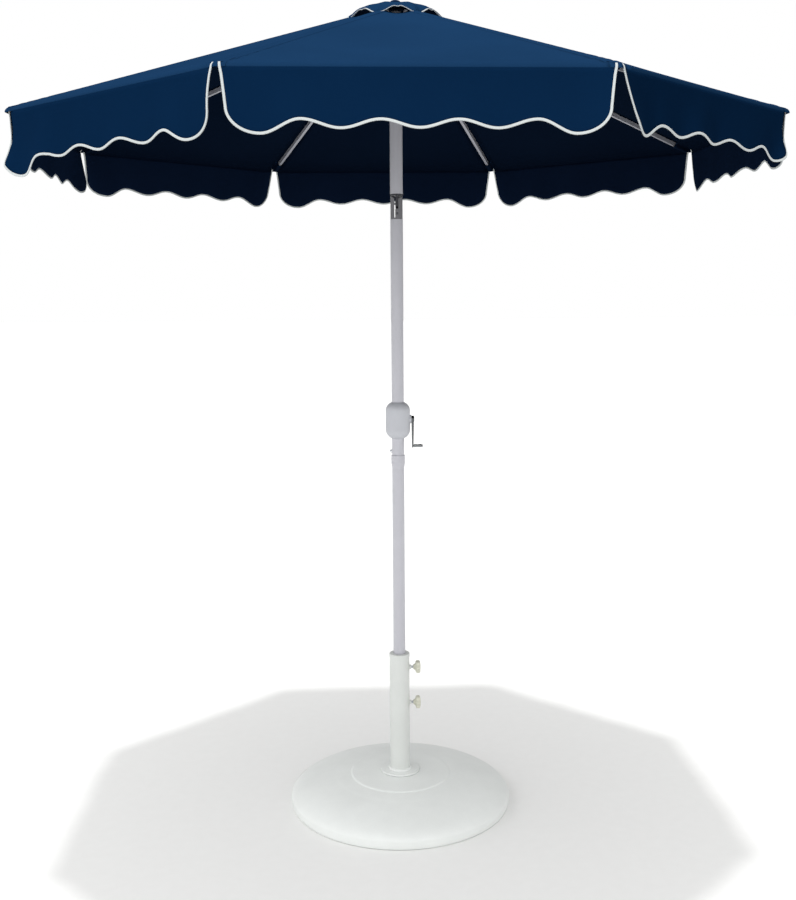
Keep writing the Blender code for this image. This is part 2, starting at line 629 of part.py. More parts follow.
# ---------------------------------------------------------------- cloth
def build_canopy():
    """Eight gores, each from the vent hole to the rim, lying just above the ribs."""
    apex_z = RIM_Z + RIM_APOTHEM * math.tan(PANEL_SLOPE)
    tangent = math.tan(HALF_SECTOR)
    outline = []
    for apothem, sign in ((VENT_HOLE, -1), (RIM_APOTHEM, -1), (RIM_APOTHEM, 1), (VENT_HOLE, 1)):
        along = apothem / math.cos(PANEL_SLOPE)
        outline.append((along, sign * (apothem * tangent - GAP)))
    panel = sheet_metal([outline], CLOTH)
    panel.data.transform(Matrix.Translation((0, 0, -CLOTH / 2)))
    angles = [side_angle(number) for number in range(1, SIDES + 1)]
    places = [radial_place(a, 0.0, apex_z, PANEL_SLOPE) for a in angles]
    repeated("canopy_panel", panel, "navy_cloth", places)

    period = 2 * FLAP_HALF_WIDTH / FLAP_LOBES
    outline = [(FLAP_HALF_WIDTH, 0.0), (-FLAP_HALF_WIDTH, 0.0), (-FLAP_HALF_WIDTH + 0.003, -FLAP_DROP * 0.8)]
    steps = 30
    for i in range(1, steps):
        x = FLAP_HALF_WIDTH * (2 * i / steps - 1) * 0.985
        outline.append((x, -FLAP_DROP - FLAP_WAVE * math.cos(2 * math.pi * x / period)))
    outline.append((FLAP_HALF_WIDTH - 0.003, -FLAP_DROP * 0.8))
    flap = upright(sheet_metal([outline], CLOTH))
    flap.data.transform(Matrix.Rotation(math.pi / 2, 4, "Z"))
    places = [radial_place(a, RIM_APOTHEM, RIM_Z - 0.0028) for a in angles]
    repeated("valance_flap", flap, "navy_cloth", places)

    rise = VENT_TOP_Z - VENT_EDGE_Z
    shape = bmesh.new()
    bmesh.ops.create_cone(
        shape, cap_ends=False, segments=2 * SIDES, radius1=VENT_RADIUS, radius2=VENT_TIP_RADIUS, depth=rise
    )
    for vert in shape.verts:
        direction = math.atan2(vert.co.y, vert.co.x) / (2 * HALF_SECTOR)
        if vert.co.z < 0 and abs(direction - round(direction)) < 0.25:
            vert.co = Vector((0, 0, VENT_ARCH)) + Matrix.Scale(math.cos(HALF_SECTOR), 3) @ vert.co
    vent = from_bmesh("vent", shape)
    vent.data.transform(Matrix.Translation((0, 0, VENT_EDGE_Z + rise / 2)))
    solid = vent.modifiers.new("cloth", "SOLIDIFY")
    solid.thickness = CLOTH
    solid.offset = -1.0
    piece("vent_canopy", frozen(vent), "navy_cloth")


build_base()
for knob_name, knob_height in KNOB_HEIGHTS.items():
    build_knob(knob_name, knob_height)
build_mast()
build_crank()
build_tilt_joint()
build_frame()
build_canopy()
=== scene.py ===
import math

import bmesh
import bpy
import numpy as np
from mathutils import Matrix, Vector, noise


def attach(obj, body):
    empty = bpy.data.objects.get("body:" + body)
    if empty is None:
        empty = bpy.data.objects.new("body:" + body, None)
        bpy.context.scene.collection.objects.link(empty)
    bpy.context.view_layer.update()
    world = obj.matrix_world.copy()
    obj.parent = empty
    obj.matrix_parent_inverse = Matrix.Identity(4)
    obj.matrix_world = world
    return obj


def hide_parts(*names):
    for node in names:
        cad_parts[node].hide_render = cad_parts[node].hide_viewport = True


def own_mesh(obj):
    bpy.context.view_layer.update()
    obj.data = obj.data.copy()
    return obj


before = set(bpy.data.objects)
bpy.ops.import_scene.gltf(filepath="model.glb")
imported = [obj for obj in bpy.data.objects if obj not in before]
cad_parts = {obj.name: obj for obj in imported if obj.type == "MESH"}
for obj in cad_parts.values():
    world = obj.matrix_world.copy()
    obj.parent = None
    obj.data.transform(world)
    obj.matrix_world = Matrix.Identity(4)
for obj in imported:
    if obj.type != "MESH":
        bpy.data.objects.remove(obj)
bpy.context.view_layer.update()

SIDES = 8
HALF = math.pi / SIDES
SIN, COS, TAN = math.sin(HALF), math.cos(HALF), math.tan(HALF)

# canopy geometry at rest, in metres
APEX_Z = 2.4607
FOLD_ANGLE = math.radians(19.4)
PANEL_TAN = math.tan(FOLD_ANGLE)
HOLE_U = 0.128
RIM_U = 1.0255
FOLD_R = 0.013
GORE_TUCK = 0.018
CLOTH = 0.0012
FOLD_U = RIM_U - FOLD_R + FOLD_R * math.sin(FOLD_ANGLE)
FOLD_CZ = APEX_Z - FOLD_U * PANEL_TAN - FOLD_R * math.cos(FOLD_ANGLE)

RIB_PIVOT_R, RIB_PIVOT_Z = 0.036, 2.4186
RIB_SLOPE = math.radians(18)
VENT_U = 0.1375
VENT_CLOTH = 0.001


def side_angle(i):
    return math.radians(-90 + 45 * (i - 1))


def place(i, u, t, z):
    """World points from a side's own radial, tangential and height numbers."""
    a = side_angle(i)
    u, t, z = np.broadcast_arrays(*(np.asarray(v, float) for v in (u, t, z)))
    return np.stack([u * math.cos(a) - t * math.sin(a), u * math.sin(a) + t * math.cos(a), z], -1)


# ---------------------------------------------------------------- meshes
def make_mesh(name, verts, faces, uvs=None, materials=()):
    mesh = bpy.data.meshes.new(name)
    mesh.from_pydata([tuple(v) for v in verts], [], [tuple(f) for f in faces])
    for m in materials:
        mesh.materials.append(m)
    if uvs is not None:
        layer = mesh.uv_layers.new(name="cloth")
        index = np.zeros(len(mesh.loops), np.int32)
        mesh.loops.foreach_get("vertex_index", index)
        layer.data.foreach_set("uv", np.asarray(uvs, np.float32)[index].ravel())
    mesh.polygons.foreach_set("use_smooth", [True] * len(mesh.polygons))
    mesh.update()
    obj = bpy.data.objects.new(name, mesh)
    bpy.context.scene.collection.objects.link(obj)
    return obj


def grid(name, points, uv, materials, flip=False, wrap=False):
    """A smooth sheet through a rows x columns grid of points."""
    rows, cols = points.shape[:2]
    faces = []
    for r in range(rows - 1):
        for c in range(cols if wrap else cols - 1):
            d = (c + 1) % cols
            quad = (r * cols + c, r * cols + d, (r + 1) * cols + d, (r + 1) * cols + c)
            faces.append(quad[::-1] if flip else quad)
    return make_mesh(name, points.reshape(-1, 3), faces, uv.reshape(-1, 2), materials)


def face_out(obj):
    """Turns a closed body's faces outwards."""
    bm = bmesh.new()
    bm.from_mesh(obj.data)
    bmesh.ops.recalc_face_normals(bm, faces=bm.faces)
    bm.to_mesh(obj.data)
    bm.free()
    return obj


def cloth_layers(obj, thickness=CLOTH, offset=-1.0):
    m = obj.modifiers.new("layers", "SOLIDIFY")
    m.thickness = thickness
    m.offset = offset
    m.use_even_offset = False
    m.material_offset = 1
    m.material_offset_rim = 0
    return obj


def sweep(name, path, inward, outward, section, materials):
    """A closed section swept along a path: section points are (across, out) in the two directions given."""
    n, k = len(path), len(section)
    pts = np.zeros((n, k, 3))
    uv = np.zeros((n, k, 2))
    run = np.concatenate([[0], np.cumsum(np.linalg.norm(np.diff(path, axis=0), axis=1))])
    for j, (a, b) in enumerate(section):
        pts[:, j] = path + a * inward + b * outward
        uv[:, j, 0] = run
        uv[:, j, 1] = a
    faces = []
    for r in range(n - 1):
        for c in range(k):
            d = (c + 1) % k
            faces.append((r * k + c, r * k + d, (r + 1) * k + d, (r + 1) * k + c))
    faces.append(tuple(range(k))[::-1])
    faces.append(tuple((n - 1) * k + c for c in range(k)))
    return face_out(make_mesh(name, pts.reshape(-1, 3), faces, uv.reshape(-1, 2), materials))


def lathe(name, profile, centre=(0, 0, 0), axis="Z", segments=96, materials=(), radius=None):
    """A turned body: profile is (radius, height) pairs; radius(angle, r, h) may reshape it."""
    pts = np.zeros((len(profile), segments, 3))
    uv = np.zeros((len(profile), segments, 2))
    for r, (rad, h) in enumerate(profile):
        for s in range(segments):
            a = 2 * math.pi * s / segments
            q = radius(a, rad, h) if radius else rad
            p = (q * math.cos(a), q * math.sin(a), h)
            if axis == "X":
                p = (h, q * math.cos(a), q * math.sin(a))
            pts[r, s] = (p[0] + centre[0], p[1] + centre[1], p[2] + centre[2])
            uv[r, s] = (a * rad, h)
    return face_out(grid(name, pts, uv, materials, wrap=True))


# ---------------------------------------------------------------- materials
class Graph:
    """A material's node graph, built with short calls."""

    def __init__(self, name):
        self.material = bpy.data.materials.new(name)
        self.material.use_nodes = True
        self.tree = self.material.node_tree
        self.shader = next(n for n in self.tree.nodes if n.type == "BSDF_PRINCIPLED")

    def node(self, kind, inputs=None, **settings):
        n = self.tree.nodes.new(kind)
        for k, v in settings.items():
            setattr(n, k, v)
        for k, v in (inputs or {}).items():
            self.plug(n.inputs[k], v)
        return n

    def plug(self, socket, value):
        if isinstance(value, bpy.types.NodeSocket):
            self.tree.links.new(value, socket)
        else:
            socket.default_value = value

    def math(self, operation, a, b=0.0):
        return self.node("ShaderNodeMath", {0: a, 1: b}, operation=operation).outputs[0]

    def mix(self, factor, a, b):
        n = self.node("ShaderNodeMix", data_type="RGBA")
        self.plug(n.inputs[0], factor)
        self.plug(n.inputs[6], a)
        self.plug(n.inputs[7], b)
        return n.outputs[2]

    def noise(self, where, scale, detail=3.0, rough=0.55):
        return self.node(
            "ShaderNodeTexNoise",
            {"Vector": where, "Scale": scale, "Detail": detail, "Roughness": rough},
        ).outputs["Fac"]

    def ramp(self, value, low_in, high_in, low_out, high_out):
        return self.node(
            "ShaderNodeMapRange",
            {"Value": value, 1: low_in, 2: high_in, 3: low_out, 4: high_out},
        ).outputs[0]

    def bump(self, height, strength, distance, normal=None):
        inputs = {"Height": height, "Strength": strength, "Distance": distance}
        if normal is not None:
            inputs["Normal"] = normal
        return self.node("ShaderNodeBump", inputs).outputs["Normal"]

    def object_space(self):
        return self.node("ShaderNodeTexCoord").outputs["Object"]

    def finish(self, **inputs):
        for k, v in inputs.items():
            self.plug(self.shader.inputs[k.replace("_", " ")], v)
        return self.material


def rgb(r, g, b):
    """A colour given as 0-255 display values, as the linear colour the shader wants."""
    out = []
    for v in (r, g, b):
        v /= 255
        out.append(v / 12.92 if v <= 0.04045 else ((v + 0.055) / 1.055) ** 2.4)
    return (*out, 1.0)


STITCH_WIDTH, STITCH_PITCH, STITCH_FILL, STITCH_GROOVE = 0.0014, 0.0045, 0.7, 0.003
NAVY_SHEEN = (0.2, 0.45, 0.9, 1)


def cloth_material(
    name, colour, thread, pitch=0.0011, stitches=(), sheen=0.01, fade=0.16, east=0.5, sheen_tint=NAVY_SHEEN
):
    """Woven polyester. stitches are (axis, position) rows in the sheet's own metres, axis 0 or 1.

    The colour itself is darker where the cloth faces +X, down to east times its full brightness. This
    darkening is painted shade, standing in for the weaker light on that side."""
    g = Graph(name)
    uv = g.node("ShaderNodeUVMap", uv_map="cloth").outputs[0]
    split = g.node("ShaderNodeSeparateXYZ", {0: uv})
    across, along = split.outputs[0], split.outputs[1]
    k = 2 * math.pi / pitch
    warp = g.math("SINE", g.math("MULTIPLY", across, k))
    weft = g.math("SINE", g.math("MULTIPLY", along, k))
    weave = g.math("MULTIPLY", warp, weft)
    obj = g.object_space()
    broad = g.noise(obj, 2.2, 4.0)
    fine = g.noise(uv, 900.0, 2.0)
    shade = g.math("ADD", g.ramp(weave, -1, 1, 0.86, 1.10), g.ramp(fine, 0.3, 0.7, -0.05, 0.05))
    shade = g.math("MULTIPLY", shade, g.ramp(broad, 0.3, 0.7, 1 - fade / 2, 1 + fade / 2))
    # painted shade: the colour darkens where the cloth's normal points towards +X
    facing = g.node("ShaderNodeSeparateXYZ", {0: g.node("ShaderNodeTexCoord").outputs["Normal"]}).outputs[0]
    shade = g.math("MULTIPLY", shade, g.ramp(facing, 0.3, 0.75, 1.0, east))
    tone = g.node("ShaderNodeVectorMath", {0: colour[:3], 3: shade}, operation="SCALE").outputs[0]
    height = g.math("MULTIPLY", weave, 0.5)
    for axis, position in stitches:
        here, run = (across, along) if axis == 0 else (along, across)
        gap = g.math("ABSOLUTE", g.math("SUBTRACT", here, position))
        line = g.math("LESS_THAN", gap, STITCH_WIDTH / 2)
        dash = g.math("FRACT", g.math("MULTIPLY", run, 1 / STITCH_PITCH))
        dash = g.math("LESS_THAN", dash, STITCH_FILL)
        mark = g.math("MULTIPLY", line, dash)
        groove = g.ramp(gap, 0.0, STITCH_GROOVE, -1.2, 0.0)
        tone = g.mix(mark, tone, thread)
        height = g.math("ADD", height, g.math("ADD", groove, g.math("MULTIPLY", mark, 1.2)))
    normal = g.bump(height, 0.35, 0.0004)
    normal = g.bump(broad, 0.15, 0.004, normal)
    return g.finish(
        Base_Color=tone,
        Roughness=g.ramp(fine, 0.2, 0.8, 0.78, 0.92),
        Sheen_Weight=sheen,
        Sheen_Roughness=0.4,
        Sheen_Tint=sheen_tint,
        Specular_IOR_Level=0.0,
        Normal=normal,
    )


def paint_material(
    name, colour, rough, metallic=0.0, speck=0.03, peel=0.1, coat=0.0, edge=0.0012, scale=1.0, gloss=0.5
):
    """Sprayed or moulded finish: orange peel, specks, faint handling marks and softened edges."""
    g = Graph(name)
    obj = g.object_space()
    peel_n = g.noise(obj, 420.0 * scale, 3.0)
    speck_n = g.noise(obj, 1500.0 * scale, 2.0)
    wear = g.noise(obj, 9.0, 5.0, 0.65)
    shade = g.ramp(speck_n, 0.3, 0.7, 1 - speck, 1 + speck)
    shade = g.math("MULTIPLY", shade, g.ramp(wear, 0.3, 0.75, 1.02, 0.96))
    tone = g.node("ShaderNodeVectorMath", {0: colour[:3], 3: shade}, operation="SCALE").outputs[0]
    soft = g.node("ShaderNodeBevel", {"Radius": edge}, samples=4).outputs[0]
    return g.finish(
        Base_Color=tone,
        Metallic=metallic,
        Roughness=g.ramp(wear, 0.3, 0.75, rough * 0.9, min(1.0, rough * 1.15)),
        Coat_Weight=coat,
        Coat_Roughness=0.25,
        Specular_IOR_Level=gloss,
        Normal=g.bump(peel_n, peel, 0.0004, soft),
    )


def metal_material(name, colour, rough):
    """Plated or bare metal with fine drawn marks along one direction."""
    g = Graph(name)
    obj = g.object_space()
    drawn = g.node("ShaderNodeMapping", {"Vector": obj, "Scale": (1, 1, 30)}).outputs[0]
    marks = g.noise(drawn, 240.0, 3.0)
    smudge = g.noise(obj, 40.0, 4.0)
    shade = g.ramp(smudge, 0.3, 0.7, 0.94, 1.04)
    tone = g.node("ShaderNodeVectorMath", {0: colour[:3], 3: shade}, operation="SCALE").outputs[0]
    soft = g.node("ShaderNodeBevel", {"Radius": 0.0006}, samples=4).outputs[0]
    return g.finish(
        Base_Color=tone,
        Metallic=1.0,
        Roughness=g.ramp(smudge, 0.3, 0.7, rough * 0.8, rough * 1.3),
        Normal=g.bump(marks, 0.08, 0.0003, soft),
    )


NAVY = rgb(22, 52, 85)
# painted shade: the flaps are the same cloth as the top, and this darker copy of its navy stands in for the
# lesser light on the hanging flaps
SHADED_NAVY_FLAP = rgb(8, 34, 63)
# painted shade: the underside, the inside of the flaps and the rib pockets are the same navy cloth; these
# darker copies stand in for the shade under the canopy
SHADED_NAVY_INSIDE = rgb(6, 14, 28)
SHADED_NAVY_FLAP_INSIDE = rgb(11, 22, 41)
SHADED_NAVY_POCKET = rgb(9, 18, 34)
THREAD = rgb(20, 48, 80)
TAPE_WHITE = rgb(200, 205, 205)
TAPE_THREAD = rgb(160, 164, 166)
SEAM_ROWS = [(0, -0.0045), (0, 0.0045), (0, -0.0175), (0, 0.0175)]

top_cloth = cloth_material("navy_top", NAVY, THREAD, stitches=[(1, 0.008)])
strip_cloth = cloth_material("navy_seam", NAVY, THREAD, stitches=SEAM_ROWS)
# painted shade: the flap, underside, flap-inside and pocket materials use the darkened navy copies above
shaded_flap_cloth = cloth_material("navy_flap", SHADED_NAVY_FLAP, THREAD)
shaded_inner_cloth = cloth_material("shaded_navy_inside", SHADED_NAVY_INSIDE, THREAD, east=1.0)
shaded_flap_inside = cloth_material("shaded_navy_flap_inside", SHADED_NAVY_FLAP_INSIDE, THREAD, east=1.0)
shaded_pocket_cloth = cloth_material(
    "shaded_navy_pocket", SHADED_NAVY_POCKET, THREAD, stitches=[(1, 0.004), (1, 0.062)], east=1.0
)
tape = cloth_material(
    "white_tape",
    TAPE_WHITE,
    TAPE_THREAD,
    pitch=0.0016,
    stitches=[(1, 0.0048)],
    sheen=0.05,
    fade=0.1,
    east=0.8,
    sheen_tint=(1, 1, 1, 1),
)

PAINTS = {
    "pole_paint": (rgb(184, 184, 191), 0.38, dict(metallic=0.15, peel=0.05, coat=0.15)),
    # painted shade: the ribs and stretchers carry the pole's paint, darkened to stand in for the shade under
    # the canopy
    "rib_paint": (rgb(142, 143, 151), 0.42, dict(metallic=0.15, peel=0.05)),
    "base_paint": (rgb(232, 235, 233), 0.46, dict(peel=0.16, coat=0.1, edge=0.002)),
    # painted shade: the sleeve is the base's white paint, darkened to match the shaded base beside it
    "sleeve_shaded_paint": (rgb(210, 213, 210), 0.46, dict(peel=0.16, coat=0.1)),
    "concrete": (rgb(150, 148, 143), 0.9, dict(speck=0.2, peel=0.6, scale=0.3)),
    "housing": (rgb(184, 186, 192), 0.5, dict(speck=0.02, peel=0.12)),
    "casting": (rgb(118, 118, 122), 0.5, dict(metallic=0.3, speck=0.06, peel=0.25)),
    "dark_casting": (rgb(62, 63, 68), 0.5, dict(metallic=0.3, speck=0.06, peel=0.25)),
    "ivory": (rgb(206, 206, 190), 0.42, dict(speck=0.02, peel=0.08)),
    "navy_plastic": (rgb(16, 38, 68), 0.7, dict(peel=0.15, gloss=0.05)),
    "nylon": (rgb(84, 86, 92), 0.5, dict(peel=0.12)),
}
METALS = {
    "chrome": (rgb(216, 218, 222), 0.12),
    # painted reflection: these two are the chrome darkened to stand in for dark surroundings seen in its
    # reflections
    "shaded_chrome": (rgb(92, 94, 96), 0.24),
    "grip_shaded_chrome": (rgb(150, 154, 156), 0.18),
    "zinc": (rgb(168, 172, 178), 0.32),
}
paint = {k: paint_material(f"{k}_look", colour, rough, **more) for k, (colour, rough, more) in PAINTS.items()}
metal = {k: metal_material(f"{k}_look", colour, rough) for k, (colour, rough) in METALS.items()}

LOOKS = {
    "pole_paint": paint["pole_paint"],
    "base_paint": paint["base_paint"],
    "concrete": paint["concrete"],
    "housing_plastic": paint["housing"],
    "chrome": metal["chrome"],
    "zinc_steel": metal["zinc"],
    "dark_casting": paint["casting"],
    "knob_plastic": paint["ivory"],
    "navy_cloth": top_cloth,
    "navy_plastic": paint["navy_plastic"],
    "grey_nylon": paint["nylon"],
}
OWN_LOOKS = {
    # painted shade: the sleeve parts take the darkened copy of the base paint
    "sleeve_tube": paint["sleeve_shaded_paint"],
    "sleeve_cap": paint["sleeve_shaded_paint"],
    "tilt_tongue": paint["dark_casting"],
    # painted reflection: the crank arm, grip and tilt button take the darkened chrome copies
    "crank_arm": metal["shaded_chrome"],
    "crank_grip": metal["grip_shaded_chrome"],
    "tilt_button": metal["shaded_chrome"],
}
for name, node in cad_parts.items():
    names = [m.name.split(".")[0] for m in node.data.materials if m]
    look = next((LOOKS[n] for n in names if n in LOOKS), paint["pole_paint"])
    look = OWN_LOOKS.get(name, look)
    # painted shade: ribs and stretchers take the darkened copy of the pole paint
    if name.startswith(("rib_", "stretcher_")):
        look = paint["rib_paint"]
    node.data.materials.clear()
    node.data.materials.append(look)


# ---------------------------------------------------------------- canopy top
SAG = 0.0075
VENT_EDGE_DIP, VENT_EDGE_REACH = 0.006, 0.12
PUCKER, PUCKER_PITCH, PUCKER_REACH = 0.0016, 0.047, 0.10
HEM_DEPTH, HEM_AT, HEM_WIDTH = 0.0006, 0.022, 0.004
RIPPLE = 0.0022
FLAT_END, FINE_START = 0.94, 0.95


def fold_rows():
    """Heights and radial distances of the soft fold at the rim."""
    angles = np.linspace(FOLD_ANGLE, math.pi / 2, 8)[1:]
    return RIM_U - FOLD_R + FOLD_R * np.sin(angles), FOLD_CZ + FOLD_R * np.cos(angles)


def top_surface(i, u, t, x):
    """Height of the tensioned cloth of side i; x is -1 to 1 between the seams."""
    z = APEX_Z - u * PANEL_TAN
    along = np.clip((u - HOLE_U) / (RIM_U - HOLE_U), 0, 1)
    z = z - SAG * (1 - x**2) * np.sin(math.pi * along) ** 0.9
    z = z - VENT_EDGE_DIP * (1 - x**2) * np.exp(-along / VENT_EDGE_REACH)
    edge = RIM_U - u
    pull = np.abs(x) ** 2.5 * np.exp(-edge / PUCKER_REACH) * np.clip(edge / 0.012, 0, 1)
    z = z + PUCKER * pull * np.sin(2 * math.pi * edge / PUCKER_PITCH + 0.6 * i + 2.0 * x)
    z = z - HEM_DEPTH * np.exp(-(((edge - HEM_AT) / HEM_WIDTH) ** 2))
    ripple = np.vectorize(lambda a, b: noise.noise(Vector((a * 3.1 + 7 * i, b * 2.1, 0.5 * i))))
    z = z + RIPPLE * ripple(t, u) * np.sin(math.pi * along) * (1 - x**4)
    return z


def build_gore(i):
    u_flat = np.concatenate([np.linspace(HOLE_U, FLAT_END, 34), np.linspace(FINE_START, FOLD_U, 12)])
    x = np.linspace(-1, 1, 37)
    u_fold, z_fold = fold_rows()
    u_all = np.concatenate([u_flat, u_fold])
    U, X = np.meshgrid(u_all, x, indexing="ij")
    T = X * (U * SIN - GORE_TUCK) / COS
    Z = np.zeros_like(U)
    n = len(u_flat)
    Z[:n] = top_surface(i, U[:n], T[:n], X[:n])
    Z[n:] = z_fold[:, None]
    S = (U - HOLE_U) / math.cos(FOLD_ANGLE)
    S[n:] = S[n - 1] + (np.arange(len(u_fold)) + 1)[:, None] * 0.0012
    uv = np.stack([T, S], -1)
    return cloth_layers(
        grid(f"canopy_gore_{i}", place(i, U, T, Z), uv, [top_cloth, shaded_inner_cloth], flip=True)
    )


STRIP_EDGES = np.array([0.003, 0.005, 0.0065, 0.012, 0.019, 0.0205, 0.022])
STRIP_RISE = (
    [0, 0.003, 0.005, 0.0065, 0.019, 0.0205, 0.022],
    [0.0016, 0.0018, 0.0017, 0.0009, 0.0008, 0.0006, 0.0001],
)


def build_strip(i):
    """The seam strip over rib i, between side i and side i+1."""
    u_flat = np.concatenate([np.linspace(HOLE_U - 0.004, FLAT_END, 40), np.linspace(FINE_START, FOLD_U, 8)])
    u_fold, z_fold = fold_rows()
    d = np.concatenate([-STRIP_EDGES[::-1], [0], STRIP_EDGES])
    rise = np.interp(np.abs(d), *STRIP_RISE)
    u_all = np.concatenate([u_flat, u_fold])
    n = len(u_flat)
    pts = np.zeros((len(u_all), len(d), 3))
    uv = np.zeros((len(u_all), len(d), 2))
    for c, (dist, up) in enumerate(zip(d, rise)):
        side, sign = (i, 1) if dist <= 0 else (i % SIDES + 1, -1)
        t = sign * (u_all * SIN - abs(dist)) / COS
        x = sign * (1 - (abs(dist) - GORE_TUCK) / (u_all * SIN))
        z = np.zeros_like(u_all)
        z[:n] = top_surface(side, u_all[:n], t[:n], np.clip(x[:n], -1, 1)) + up * 0.6
        z[n:] = z_fold
        shift = np.zeros_like(u_all)
        shift[n:] = up * 0.5
        pts[:, c] = place(side, u_all + shift, t, z)
        uv[:, c, 0] = dist
        uv[:, c, 1] = u_all
    strip = grid(f"canopy_seam_{i}", pts, uv, [strip_cloth, shaded_inner_cloth], flip=True)
    return cloth_layers(strip)


def rib_point(i, s, n, t):
    """World points from rib i's own distance out, height above its line and sideways offset."""
    a = side_angle(i) + HALF
    s, n, t = np.broadcast_arrays(*(np.asarray(v, float) for v in (s, n, t)))
    r = RIB_PIVOT_R + s * math.cos(RIB_SLOPE) + n * math.sin(RIB_SLOPE)
    z = RIB_PIVOT_Z - s * math.sin(RIB_SLOPE) + n * math.cos(RIB_SLOPE)
    return np.stack([r * math.cos(a) - t * math.sin(a), r * math.sin(a) + t * math.cos(a), z], -1)


POCKET_TOP, POCKET_START, POCKET_SHIFT = 0.0266, 1.052, 0.006
# half of the pocket's cross-section, (sideways, height) from its top edge to its lowest point
POCKET_HALF = np.array([
    (0.0165, 0.0266), (0.0108, 0.0262), (0.0084, 0.0240), (0.0076, 0.0190),
    (0.0073, 0.0150), (0.0062, 0.0119), (0.0034, 0.0108), (0.0, 0.0105),
])
# along the rib: distance out, width, and how far the section has closed up to its top
POCKET_STATIONS = [
    (POCKET_START, 1.10, 0.0), (1.0545, 1.05, 0.0), (1.060, 1.0, 0.0), (1.085, 0.99, 0.0),
    (1.108, 0.98, 0.0), (1.1155, 0.90, 0.35), (1.1185, 0.70, 0.85),
]


def build_pocket(i):
    """The cloth sleeve sewn under the seam that takes the rib's end."""
    section = np.concatenate([POCKET_HALF, POCKET_HALF[-2::-1] * (-1, 1)])
    pts, uv = [], []
    for s, wide, close in POCKET_STATIONS:
        n = section[:, 1] + (POCKET_TOP - section[:, 1]) * close
        n = POCKET_TOP - (POCKET_TOP - n) * max(wide, 1)
        pts.append(rib_point(i, s - POCKET_SHIFT, n, section[:, 0] * wide))
        uv.append(np.stack([section[:, 0], np.full(len(section), s - POCKET_START)], -1))
    pocket = grid(f"rib_pocket_{i}", np.array(pts), np.array(uv), [shaded_pocket_cloth, shaded_pocket_cloth], flip=True)
    return cloth_layers(pocket, 0.0008, 1.0)


# ---------------------------------------------------------------- valance
# a flap's side edge: its distance from the corner (SIDE_IN) at each drop below the fold (SIDE_DROP)
SIDE_DROP = np.array([-0.010, 0.0, 0.008, 0.014, 0.036, 0.053, 0.080])
SIDE_IN = np.array([0.0118, 0.0127, 0.0142, 0.0154, 0.0180, 0.0200, 0.0230])
LOBE_DEPTH = 0.1333
BODY_DEPTH = 0.1123
WAVE_PITCH, WAVE_HEIGHT = 0.166, 0.0085
# how much longer a flap hangs at its left corner, its middle and its right corner
EXTRA_DROP = {2: (-0.004, -0.004, -0.006), 8: (0.030, 0.007, 0.002)}
# flap corners that wrap inwards: (side, -1 left or +1 right)
TUCKED = {(8, -1), (7, 1), (2, 1), (3, -1)}
TUCK_START, TUCK_DEPTH = 0.385, 0.010
CORNER_X = RIM_U * TAN
FLAP_END = CORNER_X - SIDE_IN[-1]
FLAP_T = 0.333
# how far the lower left and lower right corner of each flap turn out (+) or in (-), at the bottom and halfway
CORNER_CURL = {
    1: ((0.012, 0.0), (0.010, 0.0)),
    2: ((0.028, 0.0), (0.012, -0.008)),
    3: ((-0.014, 0.0), (0.006, 0.0)),
    4: ((0.006, 0.0), (0.014, 0.0)),
    5: ((0.010, 0.0), (0.008, 0.0)),
    6: ((0.014, 0.0), (0.004, 0.0)),
    7: ((-0.030, 0.0), (-0.014, 0.0)),
    8: ((0.012, -0.008), (-0.009, 0.007)),
}


def flap_drop(i, t):
    """Length of flap i below the fold at distance t from its middle."""
    rise = np.clip((np.abs(t) - 0.25) / (FLAP_T - 0.25), 0, 1)
    body = BODY_DEPTH + WAVE_HEIGHT * np.cos(2 * math.pi * t / WAVE_PITCH)
    body = body + 0.0125 * rise**2 * (3 - 2 * rise)
    q = np.clip((np.abs(t) - FLAP_T) / (FLAP_END - FLAP_T), 0, 1)
    corner = SIDE_DROP[-1] + (LOBE_DEPTH - SIDE_DROP[-1]) * np.sqrt(np.clip(1 - q**2, 0, 1))
    left, middle, right = EXTRA_DROP.get(i, (0, 0, 0))
    extra = np.interp(t, (-0.40, -0.31, -0.2, 0.2, 0.40), (left, left, middle, middle, right))
    return np.where(np.abs(t) > FLAP_T, corner, body) + extra


def flap_point(i, a, b):
    """Flap point from column a (-1..1 at the bottom edge) and row b (0 top, 1 bottom)."""
    d = b * flap_drop(i, a * FLAP_END)
    wrap_left, wrap_right = (0.2 if (i, sign) in TUCKED else 1.0 for sign in (-1, 1))
    wrap = np.where(a < 0, wrap_left, wrap_right)
    t = a * (CORNER_X - wrap * np.interp(b * SIDE_DROP[-1], SIDE_DROP, SIDE_IN))
    hang = np.clip(d / LOBE_DEPTH, 0, 1)
    lower = hang**1.6
    swell = 0.0035 * lower * np.cos(2 * math.pi * t / WAVE_PITCH + math.pi)
    swell = swell + 0.0035 * lower * np.sin(2 * math.pi * t / 0.29 + 1.7 * i)
    folds = np.vectorize(lambda p, q: noise.noise(Vector((p * 9.0 + 11.3 * i, q * 1.5, 2.7 * i))))
    swell = swell + 0.009 * hang**1.2 * folds(t, d)
    for sign, (bottom, middle) in zip((-1, 1), CORNER_CURL[i]):
        reach = np.clip((sign * t - 0.27) / 0.13, 0, 1.1) ** 1.8
        swell = swell + reach * (bottom * hang**1.3 + middle * np.sin(math.pi * hang))
        if (i, sign) in TUCKED:
            tuck = np.clip((sign * t - TUCK_START) / 0.03, 0, 1.1) ** 1.5
            swell = swell - TUCK_DEPTH * tuck * (1 - hang**3)
    above = np.clip(-d / FOLD_R, 0, 1)
    u = RIM_U + swell + 0.004 * lower - FOLD_R * (1 - np.sqrt(1 - above**2))
    return place(i, u, t, FOLD_CZ - d), t, d


